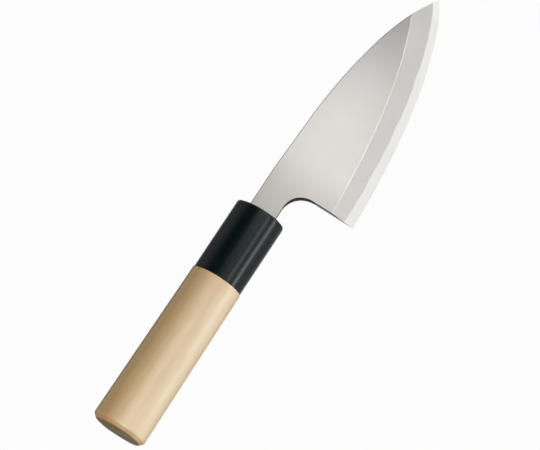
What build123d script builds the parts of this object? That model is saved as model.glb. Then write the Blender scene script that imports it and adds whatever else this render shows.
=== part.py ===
from build123d import *
import math
import os

# A small single-bevel deba knife: a laminated blade whose tang is set in a wooden handle
# with a plastic ferrule. It lies on the flat back of the blade, the bevelled face up.
# Millimetres. X runs along the handle to the tip, Y from the cutting edge to the spine, Z up.
# Every piece is drawn with X zero at the mouth of the ferrule, Y and Z zero on the axis of
# the handle. The last step moves them, so that the origin is under the middle of the knife.

# Handle, tapered towards the blade. Its section is an oval, fuller on the side of the edge,
# drawn as eight softly rounded corners: round from the spine, over the bevel side, and back.
handle_length = 111.5
butt_width = 24.7
joint_width = 23.25
handle_depth = 20.6
butt_chamfer = 1.8
shoulder_ease = 0.25
corner_across_shares = (0.5, 0.18, -0.31, -0.5, -0.5, -0.235, 0.27, 0.5)
corner_height_shares = (0.145, 0.54, 0.455, 0.138, -0.285, -0.5, -0.5, -0.1)
corner_round_shares = (0.265, 0.6, 0.43, 0.35, 0.42, 0.5, 0.38, 0.42)
side_fill_share = 0.99

# Ferrule: a moulded cup over the tenon of the handle, with a slot for the neck in its front wall
ferrule_length = 34.8
ferrule_step = 0.3
ferrule_wall = 1.9
ferrule_front_wall = 2.5
ferrule_rim_round = 1.2
slot_clearance = 0.15
tenon_clearance = 0.1

# Tang: a tapered tongue behind the shoulders of the neck, set in resin
tang_length = 80.0
tang_root_width = 9.0
tang_end_width = 5.6
tang_root_thickness = 3.2
tang_end_thickness = 2.4
resin_gap = 0.4
resin_depth = 2.0

# Blade, seen square to its bevelled face
blade_reach = 122.6
heel_reach = 16.25
spine_height = 6.15
neck_width = 12.5
blade_depth = 41.75
tip_drop = 18.95
choil_radius = 10.0
edge_start_angle = 1.67
spine_place_shares = (0.07, 0.2865, 0.702)
spine_drop_shares = (0.0082, 0.0572, 0.359)
edge_place_shares = (0.444, 0.85)
edge_rise_shares = (0.18, 0.6455)

# Blade, through its thickness
neck_thickness = 3.8
tip_thickness = 3.0
edge_thickness = 0.12
bevel_width_heel = 10.6
bevel_width_tip = 12.2
hard_layer_heel = 1.52
hard_layer_tip = 0.8
hard_layer_start = 5.0
scarf_length = 4.0
spine_ease = 0.25
bevel_stations = 9

# Hollow ground back, which leaves a flat rim
hollow_radius = 450.0
hollow_rim = 2.2
hollow_place_shares = (0.025, 0.07, 0.15, 0.3, 0.5, 0.7, 0.84, 0.93)
hollow_fill_shares = (0.5, 0.8, 0.96, 1, 1, 1, 1, 1)

# One overrun serves all cuts, and one small distance tells whether two places are the same
overrun = 3.0
same_place = 0.01

back_height = -neck_thickness / 2
heel_depth = spine_height - blade_depth
tip_height = spine_height - tip_drop
tip_point = Vector(blade_reach, tip_height)
heel_point = Vector(heel_reach, heel_depth)
front_wall_place = -ferrule_front_wall


def tangent_arcs(start, tangent, points):
    """Line of arcs through the points, each tangent to the one before."""
    arcs = []
    for point in points:
        arc = TangentArc(start, point, tangent=tangent)
        arcs.append(arc)
        start = point
        tangent = arc % 1
    return Wire(arcs)


def between(start, end, place_share, rise_share):
    """Point at a share of the way along X and another share of the way along Y."""
    place = start.X + (end.X - start.X) * place_share
    return Vector(place, start.Y + (end.Y - start.Y) * rise_share)


spine_start = Vector(heel_reach, spine_height)
spine_points = [
    between(spine_start, tip_point, place, drop)
    for place, drop in zip(spine_place_shares, spine_drop_shares)
]
spine_line = tangent_arcs(spine_start, Vector(1, 0), spine_points + [tip_point])

edge_angle = math.radians(edge_start_angle)
edge_way = Vector(math.cos(edge_angle), math.sin(edge_angle))
edge_points = [
    between(heel_point, tip_point, place, rise)
    for place, rise in zip(edge_place_shares, edge_rise_shares)
]
edge_line = tangent_arcs(heel_point, edge_way, edge_points + [tip_point])


def thickness_at(place):
    """Thickness of the blade, which thins evenly from the neck to the tip."""
    share = (place - front_wall_place) / (blade_reach - front_wall_place)
    return neck_thickness + (tip_thickness - neck_thickness) * share


def fitted_rounds(corners, rounds):
    """Rounds, all made smaller alike where the two at the ends of a side would meet on it."""
    before = corners[-1:] + corners[:-1]
    after = corners[1:] + corners[:1]
    reaches = [
        size / math.tan(math.radians((last - corner).get_angle(ahead - corner)) / 2)
        for size, last, corner, ahead in zip(rounds, before, corners, after)
    ]
    fills = [
        (reach + next_reach) / (ahead - corner).length
        for reach, next_reach, corner, ahead in zip(reaches, reaches[1:] + reaches[:1], corners, after)
    ]
    room = min(1, side_fill_share / max(fills))
    return [size * room for size in rounds]


def handle_face(place, width, depth):
    """Oval section of the handle, square to its axis: eight corners, each with its own round."""
    corners = [
        Vector(width * across, depth * height)
        for across, height in zip(corner_across_shares, corner_height_shares)
    ]
    rounds = fitted_rounds(corners, [depth * share for share in corner_round_shares])
    section = make_face(FilletPolyline(*corners, radius=rounds, close=True))
    return Plane(origin=(place, 0, 0), x_dir=(0, 1, 0), z_dir=(1, 0, 0)) * section


def box_between(low, high):
    """Box between two opposite corners."""
    size = high - low
    return Pos(*((low + high) / 2)) * Box(*size)


def end_edges(body, place):
    """Edges of a body that lie in the plane square to X at the place."""
    return body.edges().filter_by_position(Axis.X, place - same_place, place + same_place)


def tang_face(place, extra):
    """Section of the tang at a place, wider all round by extra."""
    share = (place - front_wall_place) / (-tang_length - front_wall_place)
    width = tang_root_width + (tang_end_width - tang_root_width) * share
    thickness = tang_root_thickness + (tang_end_thickness - tang_root_thickness) * share
    section = Rectangle(width + 2 * extra, thickness + 2 * extra)
    return Plane(origin=(place, 0, 0), x_dir=(0, 1, 0), z_dir=(1, 0, 0)) * section


def tang_body(end, extra):
    """Tapered tongue from the shoulders of the neck to the end, wider all round by extra."""
    return loft([tang_face(front_wall_place, extra), tang_face(end, extra)], ruled=True)


joint_depth = handle_depth * joint_width / butt_width


def ferrule_face():
    """Outer section of the ferrule, which is a step smaller all round than the wood behind it."""
    return handle_face(-ferrule_length, joint_width - 2 * ferrule_step, joint_depth - 2 * ferrule_step)


def make_wood():
    """Wooden handle with its tenon and the blind hole for the tang."""
    grip = loft(
        [
            handle_face(-handle_length, butt_width, handle_depth),
            handle_face(-ferrule_length, joint_width, joint_depth),
        ],
        ruled=True,
    )
    grip = chamfer(end_edges(grip, -handle_length), butt_chamfer)
    grip = chamfer(end_edges(grip, -ferrule_length), shoulder_ease)
    tenon_face = offset(ferrule_face(), -ferrule_wall - tenon_clearance)
    tenon = extrude(tenon_face, ferrule_length - ferrule_front_wall)
    return grip + tenon - tang_body(-tang_length - resin_depth, resin_gap)


def make_ferrule():
    """Moulded cup with a rounded front rim, a bore for the tenon and a slot for the neck."""
    cup = extrude(ferrule_face(), ferrule_length)
    cup = fillet(end_edges(cup, 0), ferrule_rim_round)
    bore = extrude(offset(ferrule_face(), -ferrule_wall), ferrule_length - ferrule_front_wall)
    slot_reach = neck_thickness / 2 + slot_clearance
    slot = box_between(
        Vector(front_wall_place - overrun, spine_height - neck_width - slot_clearance, -slot_reach),
        Vector(overrun, spine_height + slot_clearance, slot_reach),
    )
    return cup - bore - slot


neck_spine = Line((front_wall_place, spine_height), spine_start)
whole_spine = Wire([neck_spine, *spine_line.edges()])


def blade_plan():
    """Outline of the blade and its neck, seen square to the bevelled face."""
    neck_low = spine_height - neck_width
    choil_place = heel_reach - choil_radius
    heel = Line(heel_point, (heel_reach, neck_low - choil_radius))
    choil = RadiusArc(heel @ 1, (choil_place, neck_low), -choil_radius)
    neck_edge = Line(choil @ 1, (front_wall_place, neck_low))
    shoulder = Line(neck_edge @ 1, neck_spine @ 0)
    return make_face([*whole_spine.edges(), *edge_line.edges(), heel, choil, neck_edge, shoulder])


def front_spine_edges(body):
    """Edges where the front face of the blade meets the wall of the spine."""
    found = []
    for edge in body.edges():
        middle = edge @ 0.5
        on_spine = whole_spine.distance_to(Vector(middle.X, middle.Y)) < same_place
        if on_spine and middle.Z > 0 and abs((edge % 0.5).Z) < 0.5:
            found.append(edge)
    return found


def taper_profile():
    """Side view of the blade without its bevel: flat below, sloping gently down above."""
    near = front_wall_place - overrun
    far = blade_reach + overrun
    outline = Polyline(
        (near, back_height),
        (far, back_height),
        (far, back_height + thickness_at(far)),
        (near, back_height + thickness_at(near)),
        close=True,
    )
    return Plane.XZ * make_face(outline)


def bevel_face(share, slide):
    """Triangle above the bevel, square to the edge, slid along the edge by a distance."""
    point = edge_line @ share
    along = edge_line % share
    inward = Vector(-along.Y, along.X)
    start = point + along * slide
    ridge = start + inward * (bevel_width_heel + (bevel_width_tip - bevel_width_heel) * share)
    low = Vector(start.X, start.Y, back_height + edge_thickness)
    high = Vector(ridge.X, ridge.Y, back_height + thickness_at(ridge.X))
    slope = (high - low).normalized()
    bottom = low - slope * overrun
    top = high + slope * overrun
    return make_face(Polyline(bottom, top, Vector(bottom.X, bottom.Y, top.Z), close=True))


def make_bevel_cut():
    """Waste above the bevel, lofted through triangles from past the heel to past the tip."""
    faces = [bevel_face(0, -overrun)]
    for station in range(bevel_stations):
        faces.append(bevel_face(station / (bevel_stations - 1), 0))
    faces.append(bevel_face(1, overrun))
    return loft(faces)


def hollow_face(place_share, fill_share):
    """Segment of a large circle between the flat rims along the edge and the spine."""
    edge_point = edge_line @ place_share
    spine_point = spine_line @ place_share
    across = spine_point - edge_point
    middle = (edge_point + spine_point) / 2
    half = (across.length / 2 - hollow_rim) * fill_share
    sag = hollow_radius - math.sqrt(hollow_radius**2 - half**2)
    level = Plane(origin=(middle.X, middle.Y, back_height), x_dir=across, z_dir=across.cross(Vector(0, 0, 1)))
    arc = ThreePointArc((-half, 0), (0, sag), (half, 0))
    below = Polyline(arc @ 1, (half, -overrun), (-half, -overrun), arc @ 0)
    return level * make_face([arc, below])


def make_hollow():
    """Shallow leaf-shaped hollow in the back of the blade."""
    return loft([hollow_face(*shares) for shares in zip(hollow_place_shares, hollow_fill_shares)])


def make_blade():
    """Whole blade with its tang, before it is parted into its two steels."""
    slab = extrude(taper_profile(), blade_depth + overrun, both=True)
    body = extrude(Pos(0, 0, back_height) * blade_plan(), neck_thickness + overrun) & slab
    body = chamfer(front_spine_edges(body), spine_ease)
    body = body - make_bevel_cut() - make_hollow()
    return body + tang_body(-tang_length, 0)


def hard_layer_zone():
    """Wedge that holds the hard steel: under a sloping plane and ahead of a slanting scarf."""
    far = blade_reach + overrun
    slope = (hard_layer_tip - hard_layer_heel) / (blade_reach - heel_reach)
    top_far = back_height + hard_layer_heel + slope * (far - heel_reach)
    scarf_end = hard_layer_start + scarf_length
    top_near = back_height + hard_layer_heel + slope * (scarf_end - heel_reach)
    outline = Polyline(
        (hard_layer_start - scarf_length, back_height - overrun),
        (hard_layer_start, back_height),
        (scarf_end, top_near),
        (far, top_far),
        (far, back_height - overrun),
        close=True,
    )
    return extrude(Plane.XZ * make_face(outline), blade_depth + overrun, both=True)


blade = make_blade()
zone = hard_layer_zone()

pieces = {
    "blade_cladding": blade - zone,
    "blade_edge_steel": blade & zone,
    "ferrule": make_ferrule(),
    "handle_grip": make_wood(),
    "tang_resin": tang_body(-tang_length - resin_depth, resin_gap) - tang_body(-tang_length, 0),
}

# The origin goes under the middle of the box that holds the knife
to_origin = Pos(
    (handle_length - blade_reach) / 2,
    -(heel_depth + butt_width / 2) / 2,
    handle_depth / 2,
)

os.makedirs("parts", exist_ok=True)
for name, piece in pieces.items():
    export_step(to_origin * piece, f"parts/{name}.step")
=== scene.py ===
import logging
import math
from collections.abc import Callable
from dataclasses import dataclass
from enum import Enum, IntEnum
from typing import Any

import bmesh
import bpy
import numpy as np
from bpy.types import Material, Node, NodeSocket, Object
from bpy.types import NodeTree as Tree
from mathutils import Matrix, Vector


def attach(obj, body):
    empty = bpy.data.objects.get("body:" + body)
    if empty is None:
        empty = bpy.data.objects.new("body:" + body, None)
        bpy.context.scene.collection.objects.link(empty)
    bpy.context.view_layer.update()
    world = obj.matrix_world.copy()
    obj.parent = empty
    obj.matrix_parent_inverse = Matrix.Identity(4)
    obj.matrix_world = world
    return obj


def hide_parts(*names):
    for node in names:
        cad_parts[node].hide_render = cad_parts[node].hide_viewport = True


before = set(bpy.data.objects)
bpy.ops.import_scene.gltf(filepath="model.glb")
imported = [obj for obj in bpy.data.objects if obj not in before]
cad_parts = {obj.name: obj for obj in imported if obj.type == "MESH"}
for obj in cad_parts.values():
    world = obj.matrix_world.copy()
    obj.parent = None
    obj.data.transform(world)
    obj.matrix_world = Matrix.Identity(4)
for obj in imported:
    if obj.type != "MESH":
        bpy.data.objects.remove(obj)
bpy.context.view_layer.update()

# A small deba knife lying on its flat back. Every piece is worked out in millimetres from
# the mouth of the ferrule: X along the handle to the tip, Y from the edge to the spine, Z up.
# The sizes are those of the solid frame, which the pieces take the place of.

logging.basicConfig(level=logging.INFO, format="%(message)s")
log = logging.getLogger("deba_knife")

Pair = tuple[float, float]
Place = tuple[float, float, float]
Array = np.ndarray
Height = Callable[..., Array]

MM = 0.001
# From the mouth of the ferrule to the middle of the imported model, and up from its floor
FRAME_SHIFT = np.array([-5.55, 11.625, 10.3])
WELD_DISTANCE = 0.002
HALVINGS = 40
# Nearly all values of a noise texture lie between these
NOISE_SPAN = (0.3, 0.7)


class Slot(Enum):
    """Names of the record's material slots."""

    SOFT_STEEL = "soft_steel"
    HARD_STEEL = "hard_steel"
    BLACK_PLASTIC = "black_plastic"
    MAGNOLIA_WOOD = "magnolia_wood"


def linear(code: str) -> tuple[float, float, float, float]:
    """Turns an sRGB hex colour into linear light, by the standard curve.

    Args:
        code: six hex digits, such as "d9c7a0".

    Returns:
        Linear red, green, blue and an alpha of one.
    """
    value = np.array([int(code[place:place + 2], 16) for place in (0, 2, 4)]) / 255
    light = np.where(value <= 0.04045, value / 12.92, ((value + 0.055) / 1.055) ** 2.4)
    return (*(float(part) for part in light), 1.0)


def metres(place: Any) -> Vector:
    """Place in millimetres from the mouth of the ferrule, as a point of the scene."""
    return Vector([float(part) for part in (np.array(place, dtype=float) + FRAME_SHIFT) * MM])


def link(name: str, data: bpy.types.ID) -> Object:
    """Makes an object of a mesh, lamp or camera and puts it into the scene."""
    thing = bpy.data.objects.new(name, data)
    bpy.context.scene.collection.objects.link(thing)
    return thing


def add(tree: Tree, kind: str, sockets: Any = (), stops: Any = (), **settings: Any) -> Node:
    """Adds a node with its settings, its values and its links.

    Args:
        tree: node tree that gets the node.
        kind: type name of the node, after "ShaderNode".
        sockets: values of the inputs in their order, or by name or number. An output socket
            is linked, and so is the first output of a node.
        stops: places and hex colours of the two stops of a colour ramp.
        settings: properties of the node.

    Returns:
        The new node.
    """
    node = tree.nodes.new("ShaderNode" + kind)
    for name, value in settings.items():
        setattr(node, name, value)
    named = sockets if isinstance(sockets, dict) else dict(enumerate(sockets))
    for key, value in named.items():
        if isinstance(value, Node):
            value = value.outputs[0]
        if isinstance(value, NodeSocket):
            tree.links.new(value, node.inputs[key])
        else:
            node.inputs[key].default_value = value
    for place, (position, colour) in enumerate(stops):
        node.color_ramp.elements[place].position = position
        node.color_ramp.elements[place].color = linear(colour)
    return node


def millimetres(tree: Tree, stretch: Place, turn: Place = (0, 0, 0)) -> dict[str, Any]:
    """Object coordinates turned, then counted in pattern widths given in millimetres.

    Args:
        tree: node tree that gets the nodes.
        stretch: width of the pattern along X, Y and Z, in millimetres.
        turn: turn of the pattern about X, Y and Z, in degrees.

    Returns:
        Vector and scale of a texture, by the names of its sockets.
    """
    place = add(tree, "TexCoord").outputs["Object"]
    turned = add(tree, "Mapping", {
        "Vector": place, "Rotation": [math.radians(part) for part in turn]})
    scale = [1 / (width * MM) for width in stretch]
    return {"Vector": add(tree, "Mapping", {"Vector": turned, "Scale": scale}), "Scale": 1.0}


def mirrored(tree: Tree, rays: Node) -> Node:
    """One for what a glossy or a clear surface sees, and otherwise zero."""
    both = [rays.outputs["Is Glossy Ray"], rays.outputs["Is Transmission Ray"]]
    return add(tree, "Math", both, operation="MAXIMUM")


@dataclass(frozen=True)
class Finish:
    """Finish of a real material, drawn from patterns in the space of the object."""

    name: str

    def shader(self, tree: Tree) -> Node:
        """Adds the nodes of the finish and returns its shader."""
        raise NotImplementedError

    def material(self) -> Material:
        """Makes the node material."""
        material = bpy.data.materials.new(self.name)
        material.use_nodes = True
        material.node_tree.nodes.clear()
        add(material.node_tree, "OutputMaterial", [self.shader(material.node_tree)])
        return material


@dataclass(frozen=True)
class GroundSteel(Finish):
    """Steel ground on a belt or stone: fine lines in one direction over a slow unevenness.

    The lines are grinding scratches of some hundredths of a millimetre. They are drawn
    line_width wide, ten times as coarse, so that they still show at the size of the picture,
    and so are the pits that the grit of a stone leaves. Sizes are in millimetres.
    """

    colour: str
    shade: str
    roughness: float
    roughness_spread: float = 0.04
    line_width: float = 0.4
    line_length: float = 9.0
    line_turn: float = 4.0
    line_depth: float = 0.003
    grit: float = 0.0
    pit: float = 0.35
    cloud: Place = (14, 9, 9)
    cloud_share: float = 0.45
    # Painted shade: tone multiplied into the colour towards the ferrule, over the span below, in
    # millimetres
    neck_painted_shade: str = "ffffff"
    neck_shade_fade: Pair = (26, 6)

    def shader(self, tree: Tree) -> Node:
        """Metal whose colour and roughness follow the lines, with a faint bump from them."""
        line = (self.line_length, self.line_width, self.line_width)
        lines = add(tree, "TexNoise", {
            **millimetres(tree, line, (0, 0, self.line_turn)), "Detail": 3.0, "Roughness": 0.62})
        cloud = add(tree, "TexNoise", {**millimetres(tree, self.cloud), "Roughness": 0.5})
        speck = add(tree, "TexNoise", {**millimetres(tree, (self.pit,) * 3), "Roughness": 0.7})
        grain = add(tree, "Mix", {0: self.grit, 2: lines, 3: speck}, data_type="FLOAT")
        mixed = add(tree, "Mix", {0: self.cloud_share, 2: grain, 3: cloud}, data_type="FLOAT")
        tone = add(tree, "ValToRGB", [mixed], stops=zip(NOISE_SPAN, (self.shade, self.colour)))
        rough = add(tree, "MapRange", [
            grain, 0.25, 0.75, self.roughness - self.roughness_spread,
            self.roughness + self.roughness_spread])
        bump = add(tree, "Bump", {
            "Height": grain, "Strength": 0.35, "Distance": self.line_depth * MM})
        # Towards the ferrule the colour is darkened: painted shade, standing in for the dimmer
        # reflection of the steel near the neck
        parts = add(tree, "SeparateXYZ", [add(tree, "TexCoord").outputs["Object"]])
        painted_shade = add(tree, "MapRange", [parts, self.neck_shade_fade[0] * MM, self.neck_shade_fade[1] * MM],
            interpolation_type="SMOOTHSTEP")
        base = add(tree, "Mix", {
            0: painted_shade, 6: tone, 7: linear(self.neck_painted_shade)}, data_type="RGBA", blend_type="MULTIPLY")
        return add(tree, "BsdfPrincipled", {
            "Base Color": base.outputs[2], "Metallic": 1.0, "Roughness": rough, "Normal": bump})


# Soft iron, buffed satin with lengthwise lines: a mild, slightly warm silver sheen, with painted
# shade towards the ferrule
SATIN_IRON = GroundSteel(
    "satin_ground_soft_iron", "d6d4d0", "d1cec9", 0.29, roughness_spread=0.015,
    line_width=0.45, line_length=22.0, line_turn=0.0, line_depth=0.0014, neck_painted_shade="ecebe8")
# Soft iron, stoned dull along the bevel: an even, misty grey without a sheen
MISTED_IRON = GroundSteel(
    "stone_misted_soft_iron", "c3c2be", "bcbab6", 0.46, line_length=3.5, line_depth=0.006,
    grit=0.55)
# Crest between the satin face and the bevel, rubbed by the stone: a thin bright line, with painted
# shade towards the ferrule
RUBBED_IRON = GroundSteel("stone_rubbed_crest", "d8d7d3", "cfcdc9", 0.36, neck_painted_shade="e4e3df")
# Hard edge steel, finely honed: a bright, nearly white band
HONED_STEEL = GroundSteel(
    "honed_edge_steel", "dcdbd7", "d4d3cf", 0.34, roughness_spread=0.03, line_width=0.35,
    line_length=8.0)
# Hard steel of the hollow back, ground across the blade on a large wheel: a soft grey cast
WHEEL_STEEL = GroundSteel(
    "wheel_ground_back", "dddcd8", "cfcdc8", 0.32, roughness_spread=0.06, line_length=12.0,
    line_turn=90.0, line_depth=0.005)
# Rough ground spine, choil, heel and neck: nearly black, a painted dark reflection of the dark
# surroundings these walls face
IRON_PAINTED_DARK = GroundSteel(
    "rough_iron_painted_dark", "3b3836", "292725", 0.55, roughness_spread=0.08, line_width=0.5,
    line_length=3.0, line_turn=0.0, line_depth=0.02, grit=0.6)


@dataclass(frozen=True)
class MouldedPlastic(Finish):
    """Moulded ABS: black with a cool cast, satin from the faint texture of the mould.

    That texture is some hundredths of a millimetre, and is drawn 0.5 mm wide so that it
    shows. The wiping marks are drawn 0.7 mm wide for the same reason.
    """

    name: str = "satin_moulded_abs"
    colour: str = "071214"
    bloom: str = "0e1a1c"
    roughness: float = 0.27
    gloss: float = 0.32
    cloud: Place = (22, 6, 6)
    wipe: Place = (12, 0.7, 0.7)
    grit: Place = (0.5, 0.5, 0.5)
    grit_depth: float = 0.01

    def shader(self, tree: Tree) -> Node:
        """Black with slow cloudy bloom, and fine lengthwise wiping marks in its roughness."""
        cloud = add(tree, "TexNoise", {
            **millimetres(tree, self.cloud), "Detail": 3.0, "Roughness": 0.55})
        tone = add(tree, "ValToRGB", [cloud], stops=[(0.35, self.colour), (0.7, self.bloom)])
        wipes = add(tree, "TexNoise", {
            **millimetres(tree, self.wipe), "Detail": 3.0, "Roughness": 0.6})
        rough = add(tree, "MapRange", [
            wipes, *NOISE_SPAN, self.roughness - 0.04, self.roughness + 0.06])
        grit = add(tree, "TexNoise", {**millimetres(tree, self.grit), "Roughness": 0.6})
        bump = add(tree, "Bump", {
            "Height": grit, "Strength": 0.2, "Distance": self.grit_depth * MM})
        return add(tree, "BsdfPrincipled", {
            "Base Color": tone, "Roughness": rough, "IOR": 1.5,
            "Specular IOR Level": self.gloss, "Normal": bump})


@dataclass(frozen=True)
class SandedMagnolia(Finish):
    """Bare sanded magnolia: pale, nearly knot-free wood with soft wide bands along the handle.

    Yearly rings of a quick-grown tree, about 4 mm apart, lie round a pith far to one side.
    Cut along the handle they make wide soft bands, and on the butt they make slow curves.
    Pores are 0.1 mm wide and some millimetres long, drawn 0.5 mm wide so that they show.
    """

    name: str = "sanded_magnolia"
    early: str = "e3d0b2"
    late: str = "d9c2a0"
    streak: str = "c4a474"
    # Painted shade: tint multiplied into the colour of the spine side, over the span below, in
    # millimetres of Y
    spine_side_shade_tint: str = "ffeac2"
    spine_side_shade_fade: Pair = (4.6, 22.6)
    roughness: float = 0.42
    sheen: float = 0.5
    ring_width: float = 4.2
    ring_drift: float = 7.5
    pith: Place = (0, 30, 46)
    lean: Place = (0, 2.2, 1.6)
    drift: Place = (38, 8, 8)
    pore: Place = (14, 0.5, 0.5)
    pore_depth: float = 0.02
    band: Place = (45, 2.4, 2.4)

    def shader(self, tree: Tree) -> Node:
        """Ring bands drawn from the distance to the pith, with fine pores and long streaks."""
        place = add(tree, "TexCoord").outputs["Object"]
        # The pith runs along the handle, under it and to one side, leaning two degrees
        pith = add(tree, "Mapping", {
            "Vector": place, "Location": [part * MM for part in self.pith],
            "Rotation": [math.radians(part) for part in self.lean]})
        parts = add(tree, "SeparateXYZ", [pith])
        flat = add(tree, "CombineXYZ", {1: parts.outputs[1], 2: parts.outputs[2]})
        reach = add(tree, "VectorMath", [flat], operation="LENGTH")
        drift = add(tree, "TexNoise", {
            **millimetres(tree, self.drift), "Detail": 3.0, "Roughness": 0.55})
        bent = add(tree, "Math", [drift, self.ring_drift * MM, reach.outputs["Value"]],
                   operation="MULTIPLY_ADD")
        turns = add(tree, "Math", [bent, 1 / (self.ring_width * MM)], operation="MULTIPLY")
        wave = add(tree, "Math", [turns, 1.0], operation="PINGPONG")
        bands = add(tree, "ValToRGB", [wave], stops=[(0.1, self.early), (0.95, self.late)])
        bands.color_ramp.interpolation = "EASE"
        pores = add(tree, "TexNoise", {
            **millimetres(tree, self.pore, self.lean), "Detail": 3.0, "Roughness": 0.65})
        streaks = add(tree, "TexNoise", {
            **millimetres(tree, self.band, self.lean), "Roughness": 0.5})
        marks = add(tree, "Mix", {0: 0.6, 2: pores, 3: streaks}, data_type="FLOAT")
        share = add(tree, "MapRange", [marks, 0.5, 0.75, 0.0, 0.35])
        streaked = add(tree, "Mix", {0: share, 6: bands, 7: linear(self.streak)}, data_type="RGBA")
        # The spine side is tinted a deeper tan: painted shade of the side turned from the light
        sides = add(tree, "SeparateXYZ", [place])
        spine_side_shade = add(tree, "MapRange", [
            sides.outputs[1], self.spine_side_shade_fade[0] * MM, self.spine_side_shade_fade[1] * MM],
            interpolation_type="SMOOTHSTEP")
        tone = add(tree, "Mix", {
            0: spine_side_shade, 6: streaked.outputs[2], 7: linear(self.spine_side_shade_tint)},
            data_type="RGBA", blend_type="MULTIPLY")
        rough = add(tree, "MapRange", [
            pores, *NOISE_SPAN, self.roughness - 0.06, self.roughness + 0.08])
        bump = add(tree, "Bump", {
            "Height": pores, "Strength": 0.3, "Distance": self.pore_depth * MM})
        return add(tree, "BsdfPrincipled", {
            "Base Color": tone.outputs[2], "Roughness": rough, "IOR": 1.5,
            "Specular IOR Level": self.sheen, "Normal": bump})


# Long grain of the grip: creamy, with faint wide bands
LONG_GRAIN = SandedMagnolia()
# Corner round the butt: reddish brown, painted shade of the rim
RIM_PAINTED_SHADE = SandedMagnolia("rim_painted_shade", "a9794d", "94653d", "7f5433", roughness=0.5)
# Chamfer round the butt: a darker tan than the side of the grip
TAN_BUTT_CHAMFER = SandedMagnolia("tan_butt_chamfer", "d4b78d", "cbaa7e", "b08f60")
# Corner at the ferrule: nearly cream, a painted highlight of the eased shoulder
SHOULDER_PAINTED_HIGHLIGHT = SandedMagnolia("shoulder_painted_highlight", "f3e6cb", "ead8b6", "dcc59a", roughness=0.5)
# End grain of the butt: greenish brown, partly the darker end grain and partly painted shade of
# the face turned from the light
END_GRAIN_AND_SHADE = SandedMagnolia(
    "end_grain_and_shade_magnolia", "938560", "7e6e4b", "6f5c38", roughness=0.7, sheen=0.4)


@dataclass(frozen=True)
class SetResin(Finish):
    """Cast epoxy round the tang: dull amber, sealed inside the handle."""

    name: str = "set_epoxy_resin"
    colour: str = "a88654"
    cloud: str = "8d6c3e"

    def shader(self, tree: Tree) -> Node:
        """Amber with slow clouds where air was stirred in."""
        haze = add(tree, "TexNoise", {**millimetres(tree, (5, 2, 2)), "Roughness": 0.5})
        tone = add(tree, "ValToRGB", [haze], stops=zip(NOISE_SPAN, (self.colour, self.cloud)))
        return add(tree, "BsdfPrincipled", {"Base Color": tone, "Roughness": 0.45, "IOR": 1.55})


@dataclass(frozen=True)
class PaleFloor(Finish):
    """Matte painted board: pale, with a fine tooth that is drawn 2 mm wide so that it shows."""

    name: str = "matte_pale_board"
    colour: str = "9e9e9c"
    tooth: str = "999997"
    lift: float = 0.97
    mirror_lift: float = 0.3

    def shader(self, tree: Tree) -> Node:
        """Board that the camera sees lifted to plain white, and reflections about a third.

        The rest of what they see is the board as it is lit, so the shadow of the knife stays.
        """
        tooth = add(tree, "TexNoise", {**millimetres(tree, (2, 2, 2)), "Roughness": 0.6})
        tone = add(tree, "ValToRGB", [tooth], stops=[(0.0, self.tooth), (1.0, self.colour)])
        board = add(tree, "BsdfPrincipled", {"Base Color": tone, "Roughness": 0.9})
        white = add(tree, "Emission", {"Color": (1, 1, 1, 1), "Strength": 1.0})
        rays = add(tree, "LightPath")
        lifted = add(tree, "Math", [mirrored(tree, rays), self.mirror_lift], operation="MULTIPLY")
        share = add(tree, "Math", [rays.outputs["Is Camera Ray"], self.lift, lifted],
                    operation="MULTIPLY_ADD")
        return add(tree, "MixShader", [share, board, white])


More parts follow.
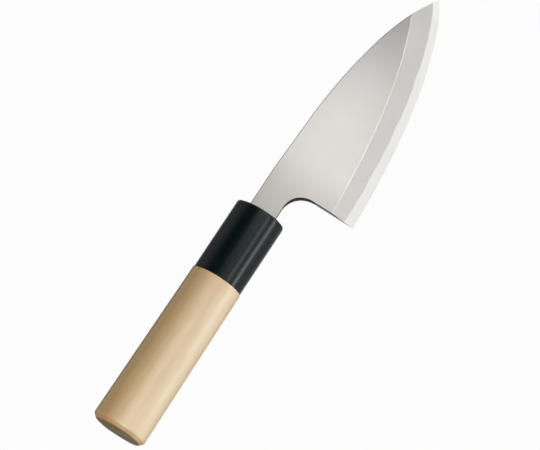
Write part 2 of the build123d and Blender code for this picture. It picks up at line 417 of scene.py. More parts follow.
class Shell:
    """Patches of one closed skin, kept as arrays until they are welded into a mesh."""

    def __init__(self) -> None:
        """Starts with no patches."""
        self.points: list[Array] = []
        self.faces: list[list[int]] = []
        self.marks: list[int] = []
        self.count = 0

    def patch(self, points: Array, marks: int | Array = 0, ring: bool = False) -> None:
        """Adds a grid of four-sided faces.

        Args:
            points: array of rows by columns by three, in millimetres.
            marks: number of the finish, one for all or one for each strip between columns.
            ring: whether the last column joins the first.
        """
        rows, columns = points.shape[:2]
        index = np.arange(rows * columns).reshape(rows, columns) + self.count
        if ring:
            index = np.concatenate([index, index[:, :1]], axis=1)
        sides = [index[:-1, :-1], index[1:, :-1], index[1:, 1:], index[:-1, 1:]]
        corners = np.stack(sides, axis=-1)
        self.points.append(points.reshape(-1, 3))
        self.faces.extend(corners.reshape(-1, 4).tolist())
        self.marks.extend(np.broadcast_to(marks, corners.shape[:2]).reshape(-1).tolist())
        self.count += rows * columns

    def cap(self, loop: Array, mark: int) -> None:
        """Adds one flat face round a closed loop of points."""
        self.points.append(loop)
        self.faces.append(list(range(self.count, self.count + len(loop))))
        self.marks.append(int(mark))
        self.count += len(loop)

    def build(self, name: str, finishes: list[Material], crease: float) -> Object:
        """Welds the patches where they meet and turns every face outwards.

        Args:
            name: name of the piece.
            finishes: materials in the order of the marks.
            crease: angle in degrees from which an edge stays sharp.

        Returns:
            The object, at the origin, with its place in its mesh.
        """
        points = (np.concatenate(self.points) + FRAME_SHIFT) * MM
        mesh = bpy.data.meshes.new(name)
        mesh.from_pydata(points.tolist(), [], self.faces)
        mesh.polygons.foreach_set("material_index", self.marks)
        work = bmesh.new()
        work.from_mesh(mesh)
        bmesh.ops.remove_doubles(work, verts=work.verts, dist=WELD_DISTANCE * MM)
        bmesh.ops.dissolve_degenerate(work, dist=1e-7, edges=work.edges)
        loose = [edge for edge in work.edges if not edge.link_faces]
        bmesh.ops.delete(work, geom=loose, context="EDGES")
        loose = [point for point in work.verts if not point.link_faces]
        bmesh.ops.delete(work, geom=loose, context="VERTS")
        bmesh.ops.recalc_face_normals(work, faces=work.faces)
        open_edges = sum(not edge.is_manifold for edge in work.edges)
        work.to_mesh(mesh)
        work.free()
        mesh.shade_smooth()
        mesh.set_sharp_from_angle(angle=math.radians(crease))
        for finish in finishes:
            mesh.materials.append(finish)
        log.info("%s: %d faces, %d open edges", name, len(mesh.polygons), open_edges)
        return link(name, mesh)


def stand_in(piece: Object, node: str) -> Object:
    """Hides the CAD node that a piece takes the place of, and returns the piece."""
    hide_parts(node)
    return piece


@dataclass(frozen=True)
class ArcChain:
    """Line of circular arcs through points, each tangent to the one before it."""

    start: Pair
    tangent: Pair
    points: tuple[Pair, ...]

    def at(self, shares: Array) -> tuple[Array, Array]:
        """Places and directions at shares of the length of the whole line.

        An arc that leaves its start along T and reaches its end over the chord C turns by
        twice the angle from T to C. After the length l it is at start + T sin(kl)/k +
        N (1 - cos(kl))/k, with the bend k and the left normal N. Outside 0 to 1 the line
        runs on straight.

        Args:
            shares: shares of the length, of any shape.

        Returns:
            Places and unit directions, each with a last axis of two.
        """
        start = np.array(self.start)
        tangent = np.array(self.tangent)
        arcs = []
        for point in self.points:
            chord = np.array(point) - start
            side = tangent[0] * chord[1] - tangent[1] * chord[0]
            half_turn = math.atan2(side, tangent @ chord)
            length = np.linalg.norm(chord) * half_turn / math.sin(half_turn)
            arcs.append((start, tangent, 2 * half_turn / length, length))
            turn = np.array([math.cos(2 * half_turn), math.sin(2 * half_turn)])
            tangent = np.array([tangent @ (turn * (1, -1)), tangent @ turn[::-1]])
            start = np.array(point)
        whole = sum(arc[3] for arc in arcs)
        inside = np.clip(shares, 0, 1)
        reach = inside * whole
        places = np.zeros(reach.shape + (2,))
        ways = np.zeros(reach.shape + (2,))
        begun = 0.0
        for begin, way, bend, length in arcs:
            run = np.clip(reach - begun, 0, length)[..., None]
            normal = np.array([-way[1], way[0]])
            sine, cosine = np.sin(bend * run), np.cos(bend * run)
            here = (reach >= begun)[..., None]
            place = begin + way * sine / bend + normal * (1 - cosine) / bend
            places = np.where(here, place, places)
            ways = np.where(here, way * cosine + normal * sine, ways)
            begun += length
        return places + ways * ((shares - inside) * whole)[..., None], ways

    def length(self) -> float:
        """Length of the line, from five hundred chords."""
        places = self.at(np.linspace(0, 1, 501))[0]
        return float(np.linalg.norm(np.diff(places, axis=0), axis=1).sum())


def halve(low: Array, high: Array, past: Height) -> tuple[Array, Array]:
    """Closes in on the places where a test turns true, by halving the span again and again.

    Args:
        low: places before it turns true.
        high: places where it is true.
        past: the test of an array of places.

    Returns:
        The last places before and past.
    """
    for _ in range(HALVINGS):
        middle = (low + high) / 2
        beyond = past(middle)
        low, high = np.where(beyond, low, middle), np.where(beyond, middle, high)
    return low, high


def spread(breaks: list[Array], counts: tuple[int, ...]) -> Array:
    """Divides each span between neighbouring breaks evenly, after putting them in order.

    Args:
        breaks: places across the blade, one array along the blade for each.
        counts: number of steps in each span.

    Returns:
        Array of ribs by columns, rising from the first break to the last.
    """
    rising = np.maximum.accumulate(np.stack(breaks), axis=0)
    columns = [rising[0][:, None]]
    for low, high, count in zip(rising[:-1], rising[1:], counts):
        steps = np.arange(1, count + 1) / count
        columns.append(low[:, None] + (high - low)[:, None] * steps)
    return np.concatenate(columns, axis=1)


def on_top(flat: Array, height: Array) -> Array:
    """Joins places seen from above with their heights."""
    return np.concatenate([flat, np.broadcast_to(height, flat.shape[:-1])[..., None]], axis=-1)


class Iron(IntEnum):
    """Finishes of the soft iron body, in the order of its materials."""

    SATIN = 0
    MISTED = 1
    RUBBED = 2
    DARK = 3


class Steel(IntEnum):
    """Finishes of the hard layer, in the order of its materials."""

    HONED = 0
    WHEEL = 1
    DARK = 2


# Steps between the breaks across the blade, and the columns at which the upper skin passes
# from the hard layer to the bevel, the crest, the flat face, its part over the choil, the
# eased strip at the spine, and ends
TOP_COLUMNS = (5, 9, 1, 9, 22, 1)
SEAM_COLUMNS = (14, 16, 3)
BACK_COLUMNS = (3, 14, 16, 3)
LAYER_END, BEVEL_END, CREST_END, TOP_CHOIL, TOP_EASE, TOP_END = np.cumsum(TOP_COLUMNS)
SEAM_CHOIL = SEAM_COLUMNS[0]
BACK_CHOIL = sum(BACK_COLUMNS[:2])
FOOT_STEPS = 14
CHOIL_STEPS = 25
BLADE_CREASE = 1.2


@dataclass
class Blade:
    """Single-bevel blade: soft iron on top, a hard steel layer with a hollow back below.

    The marks of the spine and the edge are shares of the run and of the fall or rise from
    heel to tip. Each wave of the layer line has its radians from heel to tip, phase and size.
    The hollow's leaf begins at one share of the way to the tip and grows over the other.
    """

    reach: float = 122.6
    heel: float = 16.25
    spine: float = 6.15
    depth: float = 41.75
    tip_drop: float = 18.95
    spine_marks: tuple = ((0.07, 0.0082), (0.2865, 0.0572), (0.702, 0.359))
    edge_marks: tuple = ((0.444, 0.18), (0.85, 0.6455))
    edge_angle: float = 1.67
    neck_width: float = 12.5
    neck_end: float = -2.5
    neck_rows: Place = (3.0, 1.0, -1.0)
    choil_radius: float = 10.0
    choil_ease: float = 0.5
    neck_thickness: float = 3.8
    tip_thickness: float = 3.0
    edge_thickness: float = 0.12
    bevel_widths: Pair = (10.6, 12.2)
    layer: Pair = (1.52, 0.8)
    scarf: Pair = (5.0, 9.0)
    spine_ease: float = 0.25
    crest: float = 0.12
    waver: float = 0.22
    waves: tuple = ((31, 0.6, 1.0), (57, 2.1, 0.7), (94, 4.0, 0.45))
    calm_tip: float = 0.1
    hollow_radius: float = 450.0
    hollow_rim: float = 2.2
    leaf: Pair = (0.02, 0.15)
    rim_limit: float = 0.9
    tang_start: float = 1.0
    tang_length: float = 80.0
    tang_root: Pair = (9.0, 3.2)
    tang_end: Pair = (5.6, 2.4)
    ribs: int = 150
    meeting_span: Pair = (0.5, 0.9999)
    tip_halvings: tuple[int, int] = (8, 13)

    def __post_init__(self) -> None:
        """Draws the two long lines of the outline, with the shares of the solid blade."""
        self.back = -self.neck_thickness / 2
        self.heel_low = self.spine - self.depth
        self.neck_low = self.spine - self.neck_width
        tip = (self.reach, self.spine - self.tip_drop)
        run = self.reach - self.heel
        rise = tip[1] - self.heel_low
        spine = [(self.heel + run * place, self.spine - self.tip_drop * drop)
                 for place, drop in self.spine_marks]
        edge = [(self.heel + run * place, self.heel_low + rise * share)
                for place, share in self.edge_marks]
        angle = math.radians(self.edge_angle)
        self.spine_line = ArcChain((self.heel, self.spine), (1.0, 0.0), (*spine, tip))
        self.edge_line = ArcChain(
            (self.heel, self.heel_low), (math.cos(angle), math.sin(angle)), (*edge, tip))
        self.edge_length = self.edge_line.length()

    def face_height(self, place: Array) -> Array:
        """Height of the flat face: the thickness falls evenly from the neck to the tip."""
        share = (place - self.neck_end) / (self.reach - self.neck_end)
        thinning = (self.tip_thickness - self.neck_thickness) * share
        return self.back + self.neck_thickness + thinning

    def layer_height(self, place: Array) -> Array:
        """Height of the hard layer's top: a sloping plane that ends in a scarf at the neck."""
        slope = (self.layer[1] - self.layer[0]) / (self.reach - self.heel)
        plane = self.layer[0] + slope * (np.maximum(place, self.scarf[1]) - self.heel)
        run = np.clip((place - self.scarf[0]) / (self.scarf[1] - self.scarf[0]), 0, 1)
        return self.back + plane * run

    def bevel_height(self, flat: Array, guess: Array) -> Array:
        """Height of the bevel over places seen from above.

        The bevel is ruled: from each point of the edge a straight line rises square to the
        edge, up to the face at the bevel's width. The foot of a place is found by stepping
        along the edge by how far the place lies ahead of its foot.

        Args:
            flat: places, with a last axis of two.
            guess: shares of the edge line to start from.

        Returns:
            Heights, one for each place.
        """
        share = np.array(guess, dtype=float)
        for _ in range(FOOT_STEPS):
            foot, way = self.edge_line.at(share)
            share = share + ((flat - foot) * way).sum(-1) / self.edge_length
        foot, way = self.edge_line.at(share)
        inward = np.stack([-way[..., 1], way[..., 0]], axis=-1)
        near, far = self.bevel_widths
        width = near + (far - near) * np.clip(share, 0, 1)
        away = ((flat - foot) * inward).sum(-1)
        low = self.back + self.edge_thickness
        high = self.face_height(foot[..., 0] + inward[..., 0] * width)
        return low + (high - low) * away / width

    def cross(self, shares: Array, level: Height) -> Array:
        """Share of the way from edge to spine where the bevel reaches a level.

        Args:
            shares: places of the ribs along the blade.
            level: function of X that gives the height to reach.

        Returns:
            Shares across, one where the bevel stays below the level up to the spine.
        """
        edge = self.edge_line.at(shares)[0]
        spine = self.spine_line.at(shares)[0]

        def above(middle: Array) -> Array:
            """Whether the bevel is above the level there."""
            flat = edge + (spine - edge) * middle[:, None]
            return self.bevel_height(flat, shares) > level(flat[:, 0])

        return sum(halve(np.zeros_like(shares), np.ones_like(shares), above)) / 2

    def stations(self) -> Array:
        """Shares of the ribs, with one each where the crest and the layer meet the spine.

        The last ones halve the way to the tip again and again.
        """
        ends = []
        for level in (self.face_height, self.layer_height):
            def below(middle: Array) -> Array:
                """Whether the bevel stays below the level up to the spine."""
                spine = self.spine_line.at(middle)[0]
                return self.bevel_height(spine, middle) <= level(spine[:, 0])

            ends.append(halve(*np.array([self.meeting_span]).T, below)[0][0])
        closer = 1 - 0.5 ** np.arange(*self.tip_halvings)
        return np.unique(np.concatenate([np.linspace(0, 1, self.ribs), ends, closer]))

    def grids(self) -> tuple[Array, Array, Array]:
        """Works out the surfaces of the blade as grids of ribs from heel to tip.

        Returns:
            The upper skin, the seam between soft iron and hard layer, and the hollow back,
            each with its columns from the edge, or the layer line, to the spine.
        """
        shares = self.stations()
        zero, one = 0 * shares, 1 + 0 * shares
        edge = self.edge_line.at(shares)[0]
        across = self.spine_line.at(shares)[0] - edge
        span = np.maximum(np.linalg.norm(across, axis=1), 1e-6)

        # The layer line wavers by some tenths of a millimetre, as forged layers do
        rates, phases, sizes = np.array(self.waves).T
        waver = np.sin(shares[:, None] * rates + phases) @ sizes / sizes.sum() * self.waver
        calm = np.clip((1 - shares) / self.calm_tip, 0, 1)
        layer = np.clip(self.cross(shares, self.layer_height) + waver * calm / span, 0, 1)
        crest = self.cross(shares, self.face_height)
        below = np.clip(crest - self.crest / span, 0, 1)
        above = np.clip(crest + self.crest / span, 0, 1)
        choil = 1 - (self.neck_width + self.choil_radius) / self.depth
        middle = above + (1 - above) * (choil - above[0]) / (1 - above[0])
        eased = np.clip(1 - self.spine_ease / span, 0, 1)
        top = self.skin(shares, spread([zero, layer, below, above, middle, eased, one],
                                       TOP_COLUMNS))

        # Hollow back: a circle of large radius between flat rims, drawn in to a leaf at the heel
        grow = np.clip((shares - self.leaf[0]) / self.leaf[1], 0, 1)
        half = np.maximum(span / 2 - self.hollow_rim, 0) * np.sqrt(1 - (1 - grow) ** 2)
        low_rim = np.clip(0.5 - half / span, 0, self.rim_limit * middle)
        high_rim = np.clip(0.5 + half / span, 1 - self.rim_limit * (1 - middle), 1)
        back_share = spread([zero, low_rim, middle, high_rim, one], BACK_COLUMNS)
        back_flat = edge[:, None] + across[:, None] * back_share[..., None]
        inside = np.maximum(half[:, None] ** 2 - ((back_share - 0.5) * span[:, None]) ** 2, 0)
        sunk = self.hollow_radius ** 2 - half[:, None] ** 2
        rise = np.sqrt(sunk + inside) - np.sqrt(sunk)

        # The top of the hard layer meets the bevel exactly along the wavering line
        seam_share = spread([layer, middle, high_rim, one], SEAM_COLUMNS)
        seam = self.skin(shares, seam_share)
        height = self.layer_height(seam[..., 0])
        fade = (1 - seam_share) / np.maximum(1 - seam_share[:, :1], 1e-9)
        meeting = height + (seam[:, :1, 2] - height[:, :1]) * fade
        seam[..., 2] = np.minimum(meeting, seam[..., 2])
        return top, seam, on_top(back_flat, self.back + rise)

    def skin(self, shares: Array, across: Array) -> Array:
        """Upper surface: the lower of the bevel and the flat face, which is eased at the spine.

        Args:
            shares: places of the ribs along the blade.
            across: shares from edge to spine on each rib.

        Returns:
            Array of ribs by columns by three.
        """
        edge = self.edge_line.at(shares)[0]
        way = self.spine_line.at(shares)[0] - edge
        span = np.linalg.norm(way, axis=1)[:, None]
        flat = edge[:, None] + way[:, None] * across[..., None]
        bevel = self.bevel_height(flat, np.broadcast_to(shares[:, None], across.shape))
        ease = np.clip(self.spine_ease - (1 - across) * span, 0, self.spine_ease)
        face = self.face_height(flat[..., 0]) - ease
        return on_top(flat, np.maximum(np.minimum(bevel, face), self.back + self.edge_thickness))

    def neck(self, rib: Array, height: Height) -> Array:
        """Grid of the neck and choil, which carries the columns of the heel rib to the ferrule.

        Each column keeps its share of the height, between the spine and the lower line. The
        lower line is a quarter circle from the heel to the neck, then straight.

        Args:
            rib: points of the heel rib above the choil.
            height: function of X that gives the height of the columns.

        Returns:
            Array of rows towards the ferrule by columns by three.
        """
        corner = self.heel - self.choil_radius
        turn = math.acos((self.scarf[1] - corner) / self.choil_radius)
        angles = np.unique([*np.linspace(0, math.pi / 2, CHOIL_STEPS), turn])
        bow = np.stack([corner + self.choil_radius * np.cos(angles),
                        self.neck_low + self.choil_radius * (np.sin(angles) - 1)], axis=1)
        straight = np.array([self.scarf[0], *self.neck_rows, self.neck_end])
        level = np.stack([straight, np.full(len(straight), self.neck_low)], axis=1)
        low = np.concatenate([bow, level])
        rise = (rib[:, 1] - rib[0, 1]) / (self.spine - rib[0, 1])
        place = np.broadcast_to(low[:, :1], (len(low), len(rise)))
        across = low[:, 1:] + (self.spine - low[:, 1:]) * rise
        grid = np.stack([place, across, height(place)], axis=-1)
        grid[0] = rib
        return grid

    def break_choil(self, grid: Array) -> Array:
        """Breaks the corner between the flat face and the choil, most in the middle of its curve.

        At the angle a of the quarter circle the corner is taken off over choil_ease sin(2a),
        and down by as much, so that it runs out at the heel and at the neck.

        Args:
            grid: flat face of the neck, whose first column is the lower line.

        Returns:
            The grid with one more column, the upper border of the broken corner.
        """
        centre = np.array([self.heel, self.neck_low]) - self.choil_radius
        away = grid[:, 0, :2] - centre
        angle = np.clip(np.arctan2(away[:, 1], away[:, 0]), 0, math.pi / 2)
        width = self.choil_ease * np.sin(2 * angle)
        border = grid[:, 0].copy()
        border[:, :2] += np.stack([np.cos(angle), np.sin(angle)], axis=1) * width[:, None]
        low = grid[:, 0].copy()
        low[:, 2] -= width
        return np.concatenate([low[:, None], border[:, None], grid[:, 1:]], axis=1)

    def build(self) -> list[Object]:
        """Builds the soft iron body and the hard steel layer."""
        top, seam, back = self.grids()
        # The last two columns of the face enclose the spine ease, at its real width
        drop = np.append(np.zeros(TOP_END - TOP_CHOIL), self.spine_ease)
        face_neck = self.neck(top[0, TOP_CHOIL:], lambda place: self.face_height(place) - drop)
        face_neck[1:, -2, 1] = self.spine - self.spine_ease
        face_neck = self.break_choil(face_neck)
        seam_neck = self.neck(seam[0, SEAM_CHOIL:], self.layer_height)
        back_neck = self.neck(back[0, BACK_CHOIL:], lambda place: np.full(place.shape, self.back))
        iron = [finish.material() for finish in (SATIN_IRON, MISTED_IRON, RUBBED_IRON, IRON_PAINTED_DARK)]
        steel = [HONED_STEEL.material(), WHEEL_STEEL.material(), iron[Iron.DARK]]

        hard = Shell()
        rows = int(np.argmin(np.abs(seam_neck[:, 0, 0] - self.scarf[0]))) + 1
        under, over = back_neck[:rows], seam_neck[:rows]
        for points, mark in (
                (top[:, :LAYER_END + 1], Steel.HONED), (seam, Steel.HONED),
                (back, Steel.WHEEL), (over, Steel.HONED), (under, Steel.WHEEL),
                (np.stack([back[:, 0], top[:, 0]]), Steel.HONED),
                (np.stack([back[:, -1], seam[:, -1]]), Steel.HONED),
                (np.stack([under[:, 0], over[:, 0]]), Steel.DARK),
                (np.stack([under[:, -1], over[:, -1]]), Steel.HONED)):
            hard.patch(points, mark)
        hard.cap(np.concatenate([back[0, :BACK_CHOIL + 1], seam[0, SEAM_CHOIL:0:-1],
                                 top[0, LAYER_END::-1]]), Steel.HONED)

        soft = Shell()
        face_marks = np.full(TOP_END, Iron.SATIN)
        face_marks[LAYER_END:BEVEL_END] = Iron.MISTED
        face_marks[BEVEL_END:CREST_END] = Iron.RUBBED
        face_marks[TOP_EASE:] = Iron.DARK
        neck_marks = np.full(face_neck.shape[1] - 1, Iron.SATIN)
        neck_marks[[0, -1]] = Iron.DARK
        for points, marks in (
                (top[:, LAYER_END:], face_marks[LAYER_END:]), (seam, Iron.SATIN),
                (face_neck, neck_marks), (seam_neck, Iron.SATIN),
                (np.stack([seam[:, -1], top[:, -1]]), Iron.DARK),
                (np.stack([seam_neck[:, 0], face_neck[:, 0]]), Iron.DARK),
                (np.stack([seam_neck[:, -1], face_neck[:, -1]]), Iron.DARK)):
            soft.patch(points, marks)
        soft.cap(np.concatenate([seam[0, :SEAM_CHOIL + 1], top[0, TOP_CHOIL:LAYER_END:-1]]),
                 Iron.DARK)
        soft.cap(np.concatenate([seam_neck[-1], face_neck[-1, ::-1]]), Iron.SATIN)
        self.tang(soft)

        body = soft.build("blade_soft_iron", iron, BLADE_CREASE)
        layer = hard.build("blade_hard_layer", steel, BLADE_CREASE)
        return [stand_in(body, "blade_cladding"),
                stand_in(layer, "blade_edge_steel")]

    def tang(self, shell: Shell) -> None:
        """Adds the tapered tongue inside the handle, which starts within the neck."""
        corners = np.array([[1, 1], [-1, 1], [-1, -1], [1, -1]]) / 2
        root, end = np.array(self.tang_root), np.array(self.tang_end)
        rings = []
        for place in (self.neck_end + self.tang_start, -self.tang_length):
            share = (place - self.neck_end) / (-self.tang_length - self.neck_end)
            rings.append(ring_at(place, corners * (root + (end - root) * share)))
        shell.patch(np.stack(rings), Iron.DARK, ring=True)
        shell.cap(rings[0], Iron.DARK)
        shell.cap(rings[1], Iron.DARK)


def ring_at(place: float, points: Array) -> Array:
    """Puts a ring of Y and Z points at a place along X."""
    return np.column_stack([np.full(len(points), place), points])


@dataclass(frozen=True)
class OvalSection:
    """Section of the handle: an oval, fuller towards the edge, with eight soft corners.

    The corners are shares of the width and depth, and the rounds shares of the depth.
    """

    width: float
    depth: float
    corners: tuple[Pair, ...] = (
        (0.5, 0.145), (0.18, 0.54), (-0.31, 0.455), (-0.5, 0.138),
        (-0.5, -0.285), (-0.235, -0.5), (0.27, -0.5), (0.5, -0.1))
    rounds: tuple[float, ...] = (0.265, 0.6, 0.43, 0.35, 0.42, 0.5, 0.38, 0.42)
    columns: int = 176
    arc_points: int = 161

    def outline(self) -> tuple[Array, Array]:
        """Points evenly spaced round the section, and the outward normals there.

        A rounded corner is an arc tangent to both sides: its middle lies on the bisector,
        the radius over the sine of half the corner away.

        Returns:
            Points and normals, each columns by two, Y and Z.
        """
        knots = np.array(self.corners) * (self.width, self.depth)
        start = (knots[:1] + knots[-1:]) / 2
        runs = [start]
        for place, share in enumerate(self.rounds):
            knot = knots[place]
            before = knots[place - 1] - knot
            after = knots[(place + 1) % len(knots)] - knot
            before = before / np.linalg.norm(before)
            after = after / np.linalg.norm(after)
            bisector = (before + after) / np.linalg.norm(before + after)
            sine = abs(before[0] * bisector[1] - before[1] * bisector[0])
            middle = knot + bisector * self.depth * share / sine
            foot = knot + before * ((middle - knot) @ before)
            end = knot + after * ((middle - knot) @ after)
            runs.append(self.arc(middle, foot, end))
        line = np.concatenate([*runs, start])
        steps = np.linalg.norm(np.diff(line, axis=0), axis=1)
        length = np.concatenate([[0], np.cumsum(steps)])
        even = np.arange(self.columns) / self.columns * length[-1]
        points = np.stack([np.interp(even, length, line[:, axis]) for axis in (0, 1)], axis=1)
        way = np.roll(points, -1, axis=0) - np.roll(points, 1, axis=0)
        way /= np.linalg.norm(way, axis=1, keepdims=True)
        return points, np.stack([way[:, 1], -way[:, 0]], axis=1)

    def arc(self, middle: Array, start: Array, end: Array) -> Array:
        """Points on the shorter arc about a middle from start to end, turning to the left."""
        first = math.atan2(*(start - middle)[::-1])
        turn = (math.atan2(*(end - middle)[::-1]) - first) % (2 * math.pi)
        angles = first + turn * np.linspace(0, 1, self.arc_points)
        radius = np.linalg.norm(start - middle)
        return middle + radius * np.stack([np.cos(angles), np.sin(angles)], axis=1)


# Half the short side of a slot takes one in so many of the points round it
SLOT_SHARE = 22


def slot_ring(half: Any, middle: float, columns: int) -> Array:
    """Points round a rectangle, in step with a section's columns, with one on each corner.

    Args:
        half: half the size along Y and Z.
        middle: Y of the middle.
        columns: number of points, a multiple of four.

    Returns:
        Points, columns by two, turning to the left from the middle of the +Y side.
    """
    short = columns // SLOT_SHARE
    long = columns // 2 - 2 * short
    knots = np.array([(1, 0), (1, 1), (-1, 1), (-1, -1), (1, -1), (1, 0)])
    runs = []
    for begin, end, count in zip(knots[:-1], knots[1:], (short, long, 2 * short, long, short)):
        runs.append(begin + (end - begin) * (np.arange(count) / count)[:, None])
    return np.concatenate(runs) * half + (middle, 0)


@dataclass
class Ferrule:
    """Moulded cup over the tenon, with a rounded rim and a slot for the neck."""

    length: float = 34.8
    width: float = 22.65
    depth: float = 20.6 * 23.25 / 24.7 - 0.6
    wall: float = 1.9
    front_wall: float = 2.5
    rim_round: float = 1.2
    rim_rings: int = 10
    mouth_round: float = 0.15
    first_ring: float = 2.0
    side_rings: int = 16
    slot_ease: float = 0.12
    slot_half: Pair = (6.4, 2.05)
    slot_middle: float = -0.1
    crease: float = 24.0

    def build(self) -> Object:
        """Carries the section along a profile: bore, mouth, side, rounded rim, front, slot."""
        section = OvalSection(self.width, self.depth)
        points, normals = section.outline()
        corner = self.mouth_round
        rows = [ring_at(-self.length, points - normals * self.wall),
                ring_at(-self.length, points - normals * corner),
                ring_at(-self.length + corner, points)]
        rows += [ring_at(place, points) for place in
                 np.linspace(self.first_ring - self.length, -self.rim_round, self.side_rings)]
        for angle in np.linspace(0, math.pi / 2, self.rim_rings)[1:]:
            inset = self.rim_round * (1 - math.cos(angle))
            place = self.rim_round * (math.sin(angle) - 1)
            rows.append(ring_at(place, points - normals * inset))
        half = np.array(self.slot_half)
        for place, size in ((0, half + self.slot_ease), (-self.slot_ease, half),
                            (-self.front_wall, half)):
            rows.append(ring_at(place, slot_ring(size, self.slot_middle, section.columns)))
        rows.append(ring_at(-self.front_wall, points - normals * self.wall))
        rows.append(rows[0])
        shell = Shell()
        shell.patch(np.stack(rows), ring=True)
        piece = shell.build("moulded_ferrule", [MouldedPlastic().material()], self.crease)
        return stand_in(piece, "ferrule")


class Grip(IntEnum):
    """Finishes of the handle, in the order of its materials."""

    LONG_GRAIN = 0
    END_GRAIN_AND_SHADE = 1
    RIM = 2
    SHOULDER = 3
    CHAMFER = 4


@dataclass
class Handle:
    """Wooden grip, tapered to the blade, with its tenon and the hole for the tang."""

    length: float = 111.5
    joint: float = 34.8
    butt_width: float = 24.7
    joint_width: float = 23.25
    depth: float = 20.6
    butt_chamfer: float = 1.8
    butt_border: float = 2.0
    soft_edge: float = 0.3
    soft_share: float = 0.7
    shoulder_ease: float = 0.25
    first_ring: float = 1.5
    side_rings: int = 40
    step: float = 0.3
    tenon_inset: float = 2.0
    tenon_end: float = 2.5
    hole_end: float = 82.0
    hole_root: Pair = (4.9, 2.0)
    hole_tip: Pair = (3.156, 1.5895)
    crease: float = 30.0

    def build(self) -> Object:
        """Carries the section along a profile: butt, chamfer, side, shoulder, tenon, hole."""
        section = OvalSection(self.butt_width, self.depth)
        points, normals = section.outline()
        taper = self.joint_width / self.butt_width
        butt, cut, soft = -self.length, self.butt_chamfer, self.soft_edge
        turn = soft * self.soft_share

        def side(place: float, inset: float) -> Array:
            """Ring of the tapered grip at a place, drawn in by an inset."""
            share = (place + self.length) / (self.length - self.joint)
            return ring_at(place, points * (1 + (taper - 1) * share) - normals * inset)

        rows = [ring_at(butt, points * 0.0), side(butt, cut + self.butt_border),
                side(butt, cut + soft), side(butt + turn, cut - turn),
                side(butt + cut - turn, turn), side(butt + cut + soft, 0)]
        rows += [side(place, 0) for place in np.linspace(
            butt + cut + self.first_ring, -self.joint - self.shoulder_ease, self.side_rings)]
        shoulder = len(rows)
        rows.append(side(-self.joint, self.shoulder_ease))
        inner = OvalSection(self.joint_width - 2 * self.step, self.depth * taper - 2 * self.step)
        tenon, tenon_normals = inner.outline()
        tenon = tenon - tenon_normals * self.tenon_inset
        rows += [ring_at(-self.joint, tenon), ring_at(-self.tenon_end, tenon),
                 ring_at(-self.tenon_end, slot_ring(self.hole_root, 0, section.columns)),
                 ring_at(-self.hole_end, slot_ring(self.hole_tip, 0, section.columns)),
                 ring_at(-self.hole_end, points * 0.0)]
        shell = Shell()
        grid = np.stack(rows)
        for first, last, mark in (
                (0, 2, Grip.END_GRAIN_AND_SHADE), (2, 3, Grip.RIM), (3, 4, Grip.CHAMFER),
                (4, shoulder - 1, Grip.LONG_GRAIN), (shoulder - 1, shoulder, Grip.SHOULDER),
                (shoulder, len(rows) - 1, Grip.LONG_GRAIN)):
            shell.patch(grid[first:last + 1], mark, ring=True)
        finishes = [finish.material() for finish in (
            LONG_GRAIN, END_GRAIN_AND_SHADE, RIM_PAINTED_SHADE, SHOULDER_PAINTED_HIGHLIGHT, TAN_BUTT_CHAMFER)]
        piece = shell.build("magnolia_grip", finishes, self.crease)
        return stand_in(piece, "handle_grip")


@dataclass(frozen=True)
class SoftBox:
    """Flat lamp that looks from a place to an aim, in millimetres.

    A face that glows at 1 looks plain white in a mirror. The power that a flat lamp needs
    for it is the glow times pi times its area.
    """

    name: str
    place: Place
    aim: Place
    size: Pair
    glow: float

    def build(self) -> None:
        """Adds the lamp, turned to its aim."""
        light = bpy.data.lights.new(self.name, "AREA")
        light.shape = "RECTANGLE"
        light.size, light.size_y = (part * MM for part in self.size)
        light.energy = self.glow * math.pi * light.size * light.size_y
        box = link(self.name, light)
        box.location = metres(self.place)
        way = metres(self.aim) - metres(self.place)
        box.rotation_euler = way.to_track_quat("-Z", "Y").to_euler()


SOFT_BOXES = (
    SoftBox("low_strip", (134, -597, 224), (-17, -3, 8), (600, 170), 5.4),
    SoftBox("high_strip", (134, -270, 581), (-17, -3, 8), (600, 170), 2.7),
    SoftBox("butt_box", (-430, -70, 500), (-60, 0, 0), (250, 250), 10.4),
    SoftBox("tip_box", (500, -60, 500), (-60, 0, 0), (250, 250), 1.9),
    SoftBox("blade_box", (103, 14, 250), (43, -10, 0), (80, 112), 1.4),
)


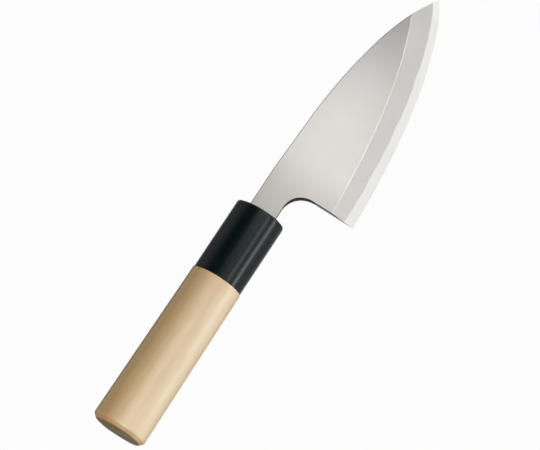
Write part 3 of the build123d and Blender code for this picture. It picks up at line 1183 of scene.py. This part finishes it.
@dataclass
class Studio:
    """Plain pale floor, soft lamps, world light and the camera of the picture."""

    floor_size: float = 30.0
    aim: Place = (-2.01, -5.73, 0.0)
    butt_tilt: float = 13.5
    edge_tilt: float = 5.5
    picture_turn: float = 56.5
    distance: float = 1600.0
    picture_scale: float = 0.4222
    picture_width: int = 540
    sensor_width: float = 36.0
    clip_end: float = 100.0
    dome_way: Place = (0.16, -0.79, 0.58)
    dome_span: Pair = (0.2, 1.0)
    world_light: float = 0.34
    haze: float = 0.02
    low_haze: float = 0.34
    low_span: Pair = (0.55, 0.25)
    walls: float = 0.7
    wall_span: Pair = (0.6, 0.95)

    def build(self) -> None:
        """Makes the floor, the lamps, the world light and the camera."""
        size = self.floor_size / 2
        corners = [(-size, -size, 0), (size, -size, 0), (size, size, 0), (-size, size, 0)]
        mesh = bpy.data.meshes.new("floor")
        mesh.from_pydata(corners, [], [(0, 1, 2, 3)])
        mesh.materials.append(PaleFloor().material())
        link("floor", mesh)
        for box in SOFT_BOXES:
            box.build()
        self.world()
        self.camera()

    def world(self) -> None:
        """Sets a dome that lights from overhead and from the edge side, with pale surroundings.

        The camera sees plain white. Reflections see hardly any of it overhead, a third of it
        low down all round, and more beyond the tip and the butt, where the pale walls stand.
        """
        world = bpy.data.worlds.new("studio_dome")
        bpy.context.scene.world = world
        world.use_nodes = True
        tree = world.node_tree
        tree.nodes.clear()
        way = add(tree, "TexCoord").outputs["Generated"]
        side = add(tree, "VectorMath", [way, self.dome_way], operation="DOT_PRODUCT")
        tone = add(tree, "MapRange", [side.outputs["Value"], *self.dome_span],
            interpolation_type="SMOOTHSTEP")
        parts = add(tree, "SeparateXYZ", [way])
        end = add(tree, "Math", [parts], operation="ABSOLUTE")
        low = add(tree, "MapRange", [
            parts.outputs[2], *self.low_span, self.haze, self.low_haze],
            interpolation_type="SMOOTHSTEP")
        walls = add(tree, "MapRange", [end, *self.wall_span, low, self.walls],
                    interpolation_type="SMOOTHSTEP")
        rays = add(tree, "LightPath")
        shown = add(tree, "Math", [walls, mirrored(tree, rays), rays.outputs["Is Camera Ray"]],
            operation="MULTIPLY_ADD")
        strength = add(tree, "Math", [tone, self.world_light, shown], operation="MULTIPLY_ADD")
        light = add(tree, "Background", {"Color": (1.0, 1.0, 1.0, 1.0), "Strength": strength})
        add(tree, "OutputWorld", [light])

    def camera(self) -> None:
        """Sets the camera, tilted from straight above towards the butt and the edge side.

        The axis of the knife runs up to the right in the picture. Right and up of the
        picture are the knife's seen X and the direction square to it, turned by that angle.
        """
        tilts = np.radians([self.butt_tilt, self.edge_tilt])
        back = np.append(-np.tan(tilts), 1.0)
        back /= np.linalg.norm(back)
        along = np.array([1.0, 0, 0]) - back * back[0]
        along /= np.linalg.norm(along)
        down = np.cross(along, back)
        angle = math.radians(self.picture_turn)
        right = along * math.cos(angle) + down * math.sin(angle)
        up = along * math.sin(angle) - down * math.cos(angle)
        view = bpy.data.cameras.new("picture_camera")
        view.sensor_width = self.sensor_width
        view.lens = self.distance / self.picture_scale * view.sensor_width / self.picture_width
        view.clip_end = self.clip_end
        stand = link("picture_camera", view)
        turn = Matrix([Vector(part) for part in (right, up, back)]).transposed().to_4x4()
        eye = metres(np.array(self.aim) + back * self.distance)
        stand.matrix_world = Matrix.Translation(eye) @ turn
        bpy.context.scene.camera = stand


def main() -> None:
    """Builds the knife piece by piece, then the studio."""
    bpy.context.scene.view_settings.view_transform = "Standard"
    for piece in (*Blade().build(), Ferrule().build(), Handle().build()):
        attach(piece, "root")
        log.info("%s rides on root", piece.name)
    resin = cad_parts["tang_resin"]
    resin.data.materials.clear()
    resin.data.materials.append(SetResin().material())
    log.info("tang_resin keeps its solid and gets cast resin")
    Studio().build()


if __name__ == "__main__":
    main()
